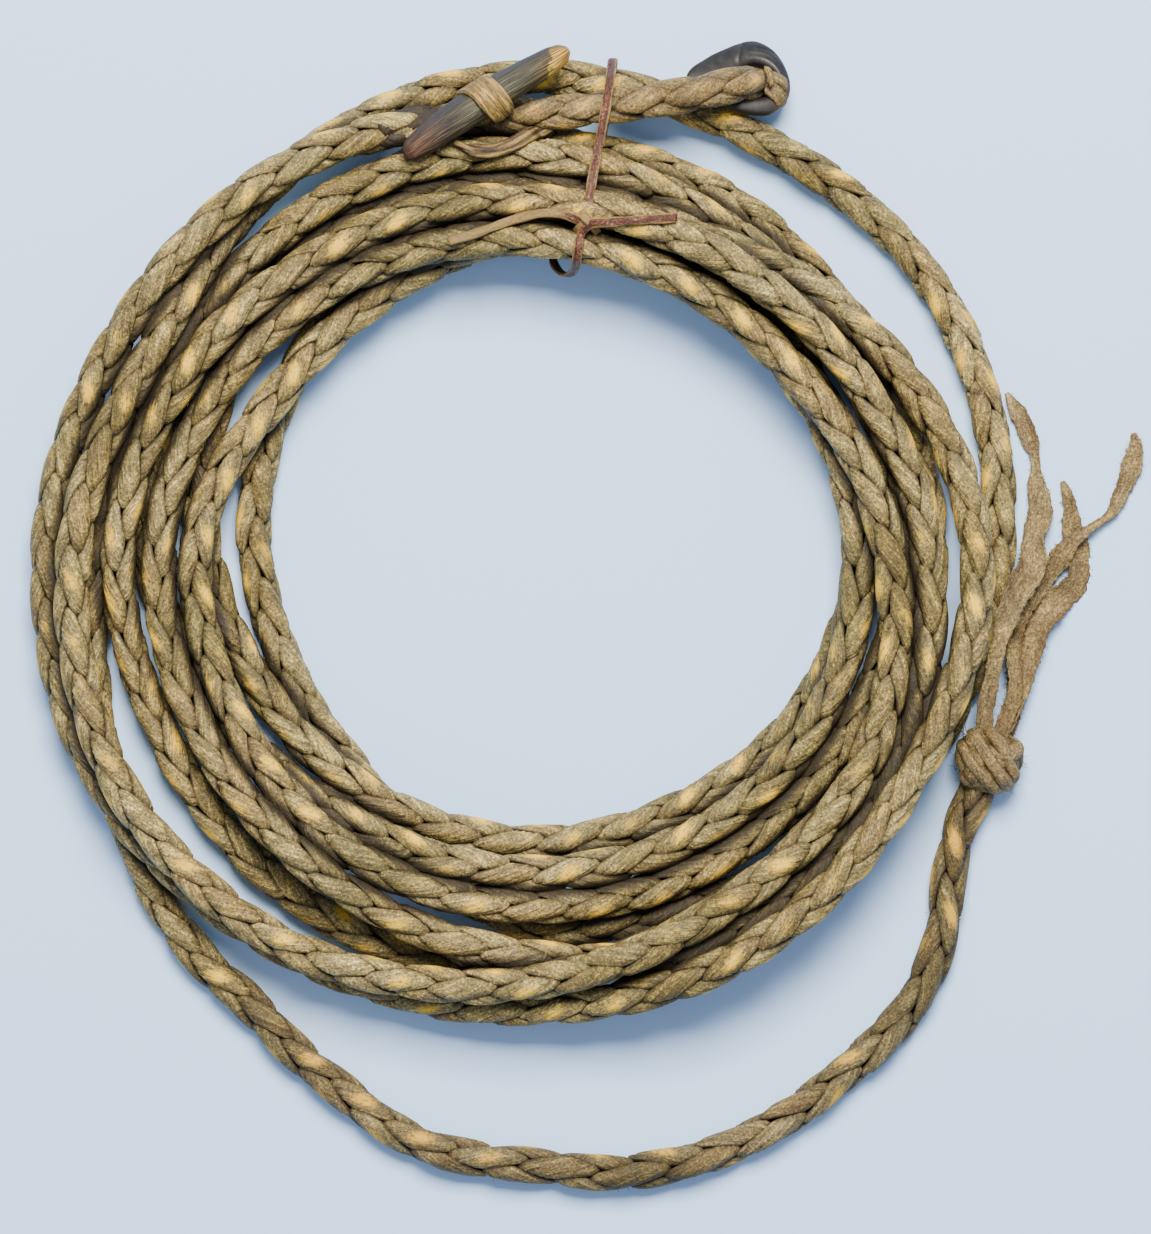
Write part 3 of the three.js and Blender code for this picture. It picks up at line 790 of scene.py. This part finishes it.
def makeRing():
    turn = np.linspace(0, 2 * math.pi, 129)
    outline = np.array(ring["outline"] * 3)
    outer = hourly(outline, 16 + turn / (2 * math.pi) * 16)
    section = np.linspace(0, 2 * math.pi, 41)
    share = (1 - np.cos(section)) / 2
    radius = ring["hole"] + (outer[:, None] - ring["hole"]) * share[None, :]
    top = np.sign(np.sin(section)) * np.abs(np.sin(section)) ** ring["squareness"]
    height = np.broadcast_to(ring["thickness"] / 2 * top[None, :], radius.shape).copy()
    away = turn[:, None] - ring["crest"] - ring["crestSlant"] * (1 - share[None, :])
    facing = (top > 0)[None, :] * np.sin(section).clip(0)[None, :]
    crest = np.exp(-np.abs(away) / ring["crestWidth"]) * ease(share[None, :], 0.1, 0.7)
    height += ring["crestRise"] * facing * crest
    ridged = ease(-away, -0.05, 0.3) * ease(ring["crest"] - turn[:, None], -0.05, 0.1)
    height += ring["ridgeRise"] * facing * ridged * np.sin(radius / ring["ridgeGap"] * 2 * math.pi)
    height -= ring["rimDrop"] * facing * share[None, :] ** 2
    local = np.stack([radius * np.cos(turn)[:, None], radius * np.sin(turn)[:, None], height], axis=-1)
    corners = onRing(local)
    strip = stacked(radius.shape, radius * 100, turn[:, None] * 2)
    brown = np.exp(-(((turn[:, None] - ring["brownAt"]) / 0.8) ** 2)) * share[None, :]
    tint = stacked(radius.shape, brown, 0.0, 0.0, 1.0)
    piece = gridPiece("hornRing", [(corners, strip, tint)], ringHorn, "horn_ring")


makeRing()
print("horn ring")

# Finer braid from the toggle up to the ring, and the strap that holds the ring
ringBraidSize = 0.95
ringPlait = 0.0215
_, ringStrands = braidStrands(
    braidLine, ringBraidSize, lambda place: np.full_like(place, ringPlait), 3, slowTwist(8, 0.3))
ringBraid = gridPiece("ringBraid", ringStrands, paleHide, "ring_braid")

strapEnds = {
    # ring-local lines over the rim in millimetres, each with its width
    "overRim": ([
        (3, 0.5, 3.4), (5.8, 0.2, 4.4), (8.4, -0.6, 4.2), (10.4, -1.6, 3.2), (11.4, -2.6, 0.6),
        (9, -3, -4.4), (3, -2, -5.4),
    ], 6.4),
    "lowRim": ([
        (2.4, -3.4, 4.4), (5, -5.6, 4.6), (7.6, -7.6, 3.8), (9.2, -9, 2), (9.4, -9.6, -1.6),
        (6, -8, -4.8), (1, -4, -5.4),
    ], 6.4),
    "underHole": ([(-9, 0, -4.6), (-4, 0.6, -5), (1, 1, -5.2), (6, 1, -5.2), (10, 0, -5)], 15.0),
    "tuckedEnd": ([(1.4, 2, 9.4), (2.4, -0.5, 10.2), (3.4, -3.4, 9.8), (3.6, -6, 7.8)], 3.4),
}


def makeRingStrap():
    sheets = []
    for number, (name, (points, width)) in enumerate(strapEnds.items()):
        line = onRing(smoothLine(np.array(points) * mm, 0.0006))
        ends = np.clip(np.minimum(np.arange(len(line)), np.arange(len(line))[::-1]) / 3, 0.35, 1)
        facing = upward if name == "underHole" else line - ringCentre
        # rim paints shade on each strap's edges
        sheets.append(strap(
            line, width * mm * ends, 2.2 * mm, facing, tone=0.3 + 0.2 * number, shift=0.05 * number, rim=0.6))
    piece = gridPiece("ringStrap", sheets, paleHide)


makeRingStrap()
print("ring braid and strap")


def restOn(line, gap):
    # lifts a line clear of the coil under it, but not of the rope's last stretch, which lies above
    under = ropeLine[:-40]
    reach = coil["diameter"] / 2 + 0.0004
    flat = np.linalg.norm(line[:, None, :2] - under[None, :, :2], axis=2)
    cover = under[None, :, 2] + np.sqrt(np.clip(reach**2 - flat**2, 0, None))
    top = np.where(flat < reach, cover, 0).max(axis=1) + gap
    wide = np.max([np.pad(top, 3, mode="edge")[shift : shift + len(top)] for shift in range(7)], axis=0)
    eased = np.convolve(np.pad(wide, 4, mode="edge"), np.ones(9) / 9, mode="valid")
    lifted = line.copy()
    lifted[:, 2] = np.maximum(line[:, 2], eased)
    return lifted


# Horn toggle: a long blunt spindle, and the hide keeper over its middle
toggle = {
    "tip": (-72.8, 183.2, 37),
    "end": (-7.6, 226.4, 33),
    # half width at places along it
    "profile": [
        (0, 0.2), (0.6, 2.6), (3, 4.4), (10, 5.7), (26, 6.8), (42, 6.8), (60, 6.1), (71, 5.3), (76, 3.9),
        (78.4, 1.6), (78.7, 0.2),
    ],
    "facets": 0.035,
    "bow": 0.9,
}
keeper = {
    "width": 12.0, "thickness": 2.2, "reach": 8.4, "skew": 2.8, "bow": 2.0, "narrow": 0.22, "legs": 7,
    # one cut end of the braid that shows below it
    "spareEnd": [
        (-15, 196, 22), (-23, 191.8, 25), (-30.4, 187.6, 28), (-38.4, 185, 28), (-46, 185.6, 28),
        (-53, 188.6, 26),
    ],
    "spareWidth": 6.2, "spareThickness": 2.6,
}


def makeToggle():
    tip, end = np.array(toggle["tip"]) * mm, np.array(toggle["end"]) * mm
    length = np.linalg.norm(end - tip)
    axis = (end - tip) / length
    side = unit(np.cross(upward, axis))
    up = np.cross(axis, side)
    profile = np.array(toggle["profile"]) * mm
    places = length * (1 - np.cos(np.linspace(0, math.pi, 91))) / 2
    radius = np.interp(places, profile[:, 0] * length / profile[-1, 0], profile[:, 1])
    radius[1:-1] = (radius[:-2] + 2 * radius[1:-1] + radius[2:]) / 4
    turn = np.linspace(0, 2 * math.pi, 65)
    share = (places / length)[:, None]
    facet = np.cos(5 * turn[None, :] + 1.4 * share) + 0.6 * np.cos(3 * turn[None, :] - 2 * share + 1)
    grown = radius[:, None] * (1 + toggle["facets"] * facet * np.sin(math.pi * share.clip(0.02, 0.98)))
    bow = toggle["bow"] * mm * np.sin(math.pi * share[..., None] * 1.3)
    corners = tip + axis * places[:, None, None] + side * (grown * np.cos(turn))[..., None]
    corners = corners + up * (grown * np.sin(turn))[..., None] + side * bow
    strip = stacked(grown.shape, places[:, None] * 100, turn[None, :] * 0.65)
    swell = np.cos(turn[None, :])
    tint = stacked(grown.shape, share - 0.06 * swell, 0.5 - 0.5 * swell, 0.0, 1.0)
    piece = gridPiece("hornToggle", [(corners, strip, tint)], toggleHorn, "horn_toggle")
    # the keeper: one strap arched over the toggle, its legs down to the rope
    middle = tip + axis * length * 0.5
    reach = keeper["reach"] * mm
    arch = np.linspace(-0.12, math.pi + 0.12, 40)
    legs = keeper["legs"] * mm * np.linspace(1, 0.1, 8)
    line = [middle + side * reach - up * drop for drop in legs]
    line += [middle + side * reach * math.cos(part) + up * reach * math.sin(part) for part in arch[2:-2]]
    line += [middle - side * reach - up * drop for drop in legs[::-1]]
    line = smoothLine(np.array(line)[::3], 0.0006)
    swing = np.linspace(-1, 1, len(line))
    shift = keeper["skew"] * mm * swing + keeper["bow"] * mm * (1 - swing**2)
    line = line + axis * shift[:, None]
    facing = line - (tip + axis * ((line - tip) @ axis)[:, None])
    uneven = 1 - 0.08 * swing**2 - keeper["narrow"] * swing.clip(0) + 0.03 * np.sin(7 * swing)
    # rim paints shade on the edges of the keeper and of the cut end below it
    band = strap(
        line, keeper["width"] * mm * uneven, keeper["thickness"] * mm, facing, tone=0.35, gold=0.3,
        cup=-0.1, sides=40, square=0.45, rim=0.35,
    )
    spare = restOn(smoothLine(np.array(keeper["spareEnd"]) * mm, 0.0008), 0.001)
    widths = keeper["spareWidth"] * mm * np.clip(np.arange(len(spare))[::-1] / 12, 0.45, 1)
    curl = strap(
        spare, widths, keeper["spareThickness"] * mm, np.array([0, 0.3, 1.0]), tone=0.3, dark=0.6,
        rim=0.8, shift=0.4,
    )
    piece = gridPiece("hideKeeper", [band, curl], keeperHide, "toggle_keeper")


makeToggle()
print("toggle and keeper")

# Lace tie: one flat lace round the whole bundle, knotted on top, with two free ends
lace = {
    "width": 0.0038,
    "thickness": 0.0017,
    "loop": [
        (0, 157.4, 44.6), (0.6, 164.3, 44.4), (1.8, 172, 42), (3.6, 182.2, 38.4), (5.8, 193, 37),
        (7.6, 203, 36.4), (8.8, 211, 34.6), (9.6, 217.6, 26), (10.2, 222.6, 14), (10.4, 222.4, 5.5),
        (10, 217.4, 1.4), (9.2, 211, 1.1),
        (6, 195, 1.1), (0, 172, 1.1), (-9, 155, 1.1), (-13.2, 147.6, 3), (-13.6, 143, 7), (-12, 139.2, 12),
        (-9.4, 136.8, 17), (-7, 136.4, 23), (-5.4, 137.6, 29.5), (-4.6, 139.4, 37), (-4, 142.4, 42.6),
        (-3.4, 147, 45), (-2.4, 151.6, 44.6),
    ],
    "rightEnd": [
        (-0.6, 155.4, 44.6), (4, 155.8, 44), (11, 156.2, 44), (20, 156.8, 45), (29, 157.4, 46.4),
        (38, 158, 46),
    ],
    "leftEnd": [
        (-55, 149, 33.4), (-46, 151.4, 34), (-36, 155, 34), (-26, 158.4, 36), (-16, 160, 38),
        (-7, 159, 42),
    ],
    # short wraps of the knot, each a low arch: from, over and to
    "wraps": [
        [(-4.2, 153, 40), (-2.6, 154.6, 44), (0, 157, 46), (2.6, 159.6, 44), (4, 161.4, 40)],
        [(-4, 161.2, 40), (-2.4, 159.6, 44.8), (0, 157, 47.4), (2.6, 154.4, 44.8), (4, 152.6, 40)],
        [(-4.8, 157.4, 40), (-3, 157.8, 44), (-0.8, 160.2, 45.4), (1.4, 162, 44.4), (3.6, 162.6, 40.4)],
    ],
}


def makeLace():
    step, gap = 0.0012, 0.0009
    left, right = (
        restOn(smoothLine(np.array(lace[end]) * mm, step), gap) for end in ("leftEnd", "rightEnd"))
    points = np.concatenate([left[::4], np.array(lace["loop"]) * mm, right[2::4]])
    line = smoothLine(points, step)
    lengths = runLengths(line)
    ends = lineLength(left)
    rightStart = lengths[-1] - lineLength(right)
    inLoop = ease(lengths, ends - 0.004, ends + 0.006)
    inLoop = inLoop * (1 - ease(lengths, rightStart - 0.006, rightStart + 0.004))
    outward = line - np.array([0.002, 0.175, 0.018])
    outward[:, 0] = 0
    facing = unit(outward) * inLoop[:, None] + upward * (1 - inLoop)[:, None]
    wave = 1 + 0.08 * np.sin(lengths * 260) + 0.05 * np.sin(lengths * 610 + 1)
    tan = 0.9 * (1 - ease(lengths, ends - 0.01, ends + 0.004))
    corners, strip, tint = strap(
        line, lace["width"] * wave, lace["thickness"], facing, tone=0.5, gold=tan, dark=tan / 4, sides=16)
    # its cut edges are tan, and on its whole end they carry painted shade
    rim = ease(np.abs(strip[..., 1]), 0.12, 0.19)
    tint[..., 1] = np.maximum(tint[..., 1], 0.8 * rim)
    tint[..., 2] = np.maximum(tint[..., 2], 0.75 * rim * tan[:, None])
    # rim paints shade on the wraps' edges
    wraps = [
        strap(
            smoothLine(np.array(wrap) * mm, 0.0005), lace["width"] * 0.95, 0.002, upward, tone=0.4,
            gold=0.6, rim=0.85, sides=16, shift=0.3 * number)
        for number, wrap in enumerate(lace["wraps"])
    ]
    piece = gridPiece("laceTie", [(corners, strip, tint)], laceHide, "lace_tie")
    laceKnot = gridPiece("laceKnot", wraps, laceHide)


makeLace()
print("lace tie")

# End knot: the four strips turned over each other round the rope's end
knot = {
    "centre": (161.2, -58, 12),
    "radii": (12.8, 12.2, 10.4),
    # bands round it: heading and lift of each band's axis in degrees, its offset, width and rise
    "bands": [
        (38, 8, -0.34, 6.0, 1.06), (33, 2, 0.04, 5.8, 1.1), (28, -6, 0.42, 5.8, 1.05),
        (170, 12, 0.62, 8.6, 1.0), (74, 26, 0.66, 7.0, 1.0), (262, -10, 0.7, 8.0, 0.96),
        (330, 24, 0.66, 7.0, 0.97), (215, -60, 0.2, 8.0, 0.94),
    ],
    "thickness": 3.2,
    "hairs": 150,
}


def makeKnot():
    centre, radii = np.array(knot["centre"]) * mm, np.array(knot["radii"]) * mm
    rng = np.random.default_rng(21)
    sheets = []
    for number, (heading, lift, offset, width, rise) in enumerate(knot["bands"]):
        heading, lift = math.radians(heading), math.radians(lift)
        flat = math.cos(lift)
        axis = np.array([math.cos(heading) * flat, math.sin(heading) * flat, math.sin(lift)])
        first = unit(np.cross(axis, np.array([0.1, 0.2, 1.0])))
        second = np.cross(axis, first)
        turn = np.linspace(0, 2 * math.pi, 97)[:, None]
        spread = math.sqrt(1 - offset**2)
        outward = (first * np.cos(turn) + second * np.sin(turn)) * spread + axis * offset
        lump = rise + 0.045 * np.sin(2 * turn + rng.uniform(0, 6))
        lump = lump + 0.03 * np.sin(5 * turn + rng.uniform(0, 6))
        line = centre + outward * radii * lump
        line[:, 2] = np.maximum(line[:, 2], 0.0022)
        widths = width * mm * (1 + 0.1 * np.sin(3 * turn[:, 0] + rng.uniform(0, 6)))
        # rim paints shade along each band's edges
        sheets.append(strap(
            line, widths, knot["thickness"] * mm, outward, tone=rng.uniform(0.1, 0.8), dark=0.05,
            cup=-0.34, sides=22, square=0.8, shift=0.13 * number, rim=0.85,
        ))
    fall = np.linspace(0.01, math.pi - 0.01, 20)
    fall, turn = np.meshgrid(fall, np.linspace(0, 2 * math.pi, 33), indexing="ij")
    core = np.stack([np.cos(turn) * np.sin(fall), np.sin(turn) * np.sin(fall), np.cos(fall)], axis=-1)
    inside = centre + core * radii * 0.97
    inside[..., 2] = np.maximum(inside[..., 2], 0.001)
    # the core, which shows only between the bands, is painted partly into shade
    sheets.append((inside, core[..., :2] * 2, np.broadcast_to([0.5, 0.0, 0.6, 1.0], (*inside.shape[:2], 4))))
    roots = centre + unit(rng.normal(0, 1, (knot["hairs"], 3))) * radii * 1.08
    roots[:, 2] = np.maximum(roots[:, 2], 0.001)
    sheets += fibres(roots, unit(roots - centre), 0.004, 0.00025, 31)
    # a few longer whiskers on the side away from the tails
    whiskers = centre + np.array([[-0.0105, 0.0095, 0.004]] * 5) + rng.normal(0, 0.0012, (5, 3))
    sheets += fibres(whiskers, np.array([[-0.35, 1.0, 0.2]] * 5), 0.008, 0.0005, 33)
    piece = gridPiece("endKnot", sheets, frayedHide, "end_knot")


makeKnot()

# Frayed strand tails out of the knot, tip first: x, y, height of the under side and width
tails = {
    "thickness": 1.9,
    "fray": 0.13,
    "frayWaves": (400, 900, 1700, 2900),  # radians a metre
    "rollWaves": (60, 130),
    "hairs": 110,
    "shift": 0.31,  # keeps each tail's grain unlike the next one's
    "lines": [
        [
            (168.8, 89.8, 0.4, 1.6), (171.4, 84.6, 0.4, 5.4), (175.1, 78.9, 0.4, 7.4),
            (178.4, 71, 0.4, 7.2), (180.2, 64, 0.4, 4.2), (180.6, 58, 0.4, 4.6),
            (180.6, 52.5, 0.4, 7.6), (181.8, 47, 0.8, 9.8), (182.4, 40, 1.4, 10),
            (180.2, 31.8, 4, 10.6), (179.1, 20.4, 9.5, 11.8), (172.6, 12, 14.5, 13),
            (168.2, 2, 16.6, 11.6), (166, -7, 16.6, 7.4), (163.8, -17, 16, 6.4),
            (161.6, -27, 15.2, 6.6), (159.4, -36, 14, 7.2), (159.6, -50, 13, 7),
        ],
        [
            (220, 73.7, 0.4, 1.8), (221, 68, 0.4, 6.4), (219.9, 62.8, 0.4, 8), (217.6, 56, 0.4, 7.6),
            (214.6, 49, 0.6, 6.6), (210.7, 41, 1.6, 4.2), (203.8, 35.8, 3, 3.6), (196.8, 30.8, 3.4, 6),
            (190, 23.8, 3.4, 9), (184.4, 16, 3.6, 8.6), (178.6, 7, 4.6, 7), (173.8, -2, 6.5, 6.2),
            (171.4, -14, 8, 6), (171.6, -29.6, 9.6, 6), (166, -50, 10, 6),
        ],
        [
            (191.2, 54.2, 0.2, 1.8), (193, 50, 0.2, 4.6), (194.6, 44, 0.2, 5.4), (195.4, 36, 0.2, 9),
            (197.2, 24.9, 0.2, 9.6), (196.4, 14.6, 0.2, 11), (188.6, 5.6, 0.8, 12),
            (182, -4, 2.8, 11.6), (178.4, -14, 3.8, 10), (175, -24.2, 5.6, 9), (171.6, -34.6, 7.4, 8.4),
            (166, -50, 8, 7),
        ],
        [
            (173.6, -4.4, 0.2, 5), (173.4, -10, 0.2, 7), (173.4, -17.6, 0.2, 8), (172.6, -31.6, 2, 7.6),
            (167, -50, 4.4, 7),
        ],
    ],
}


def makeTail(number, points):
    rng = np.random.default_rng(50 + number)
    stations = smoothLine(np.array(points) * mm, 0.0007)
    line, widths = stations[:, :3].copy(), stations[:, 3].clip(0.0012)
    lengths = runLengths(line)
    line[:, 2] += tails["thickness"] * mm / 2
    jitter = sum(
        rng.uniform(0.3, 1) * np.sin(lengths * wave + rng.uniform(0, 6)) for wave in tails["frayWaves"])
    widths = widths * (1 + tails["fray"] * jitter / 2)
    roll = sum(
        rng.uniform(0.2, 0.45) * np.sin(lengths * wave + rng.uniform(0, 6)) for wave in tails["rollWaves"])
    side = lineFrames(line)[1]
    facing = upward + side * roll[:, None]
    brown = 0.3 * np.clip(np.sin(lengths * 95 + number * 1.7), 0, 1)
    # rim paints shade on the tail's edges
    sheet = strap(
        line, widths, tails["thickness"] * mm, facing, tone=0.25 + 0.2 * number, dark=brown, cup=0.3,
        sides=22, square=0.6, shift=tails["shift"] * number, rim=0.3,
    )
    # painted shade on one side of each fold across the tail
    acrossShare = (sheet[1][..., 1] / 100 - tails["shift"] * number) / (widths[:, None] / 2)
    foldShade = np.sin(lengths * 48 + number * 2.1 + 1)[:, None] * acrossShare
    sheet[2][..., 2] = np.maximum(sheet[2][..., 2], 0.65 * ease(foldShade, 0.15, 0.9))
    # hairs along both edges, which are the first and the middle corner of each row
    picks = rng.integers(2, len(line) - 2, tails["hairs"])
    edges = np.where(rng.random(tails["hairs"]) < 0.5, 0, 11)
    roots = sheet[0][picks, edges]
    hairs = fibres(roots, unit(roots - line[picks]), 0.0016, 0.00022, 70 + number)
    piece = gridPiece(f"strandTail{number + 1}", [sheet, *hairs], frayedHide, f"strand_tail_{number + 1}")


for number, points in enumerate(tails["lines"]):
    makeTail(number, points)
print("end knot and tails")

# Floor and light: a pale table top, a big soft light above the ring's side and a paler fill
studio = {
    "floor": "b4d6ff", "sky": "d6e2fb", "skyStrength": 0.58,
    # name, place, size, power and colour
    "lights": [
        ("key", (0.1, 1.45, 2.5), 1.3, 262.0, "fff6ea"),
        ("fill", (-0.6, -1.4, 2.2), 2.0, 8.0, "eaf2ff"),
    ],
}


def makeFloor():
    shape = bmesh.new()
    bmesh.ops.create_grid(shape, x_segments=2, y_segments=2, size=4.0)
    mesh = bpy.data.meshes.new("floor")
    shape.to_mesh(mesh)
    shape.free()
    paint = {"Base Color": linear(studio["floor"]), "Roughness": 0.6}
    mesh.materials.append(newMaterial("paintedTableTop", paint))
    newObject("floor", mesh)


def makeLight(name, place, size, power, colour):
    data = bpy.data.lights.new(name, "AREA")
    data.size = size
    data.energy = power
    data.color = linear(colour)[:3]
    light = newObject(name, data)
    light.location = place
    light.rotation_euler = Vector((-part for part in place)).to_track_quat("-Z", "Y").to_euler()


makeFloor()
for light in studio["lights"]:
    makeLight(*light)
world = bpy.context.scene.world or bpy.data.worlds.new("room")
bpy.context.scene.world = world
world.use_nodes = True
background = world.node_tree.nodes["Background"]
feed(world, background, {"Color": linear(studio["sky"]), "Strength": studio["skyStrength"]})
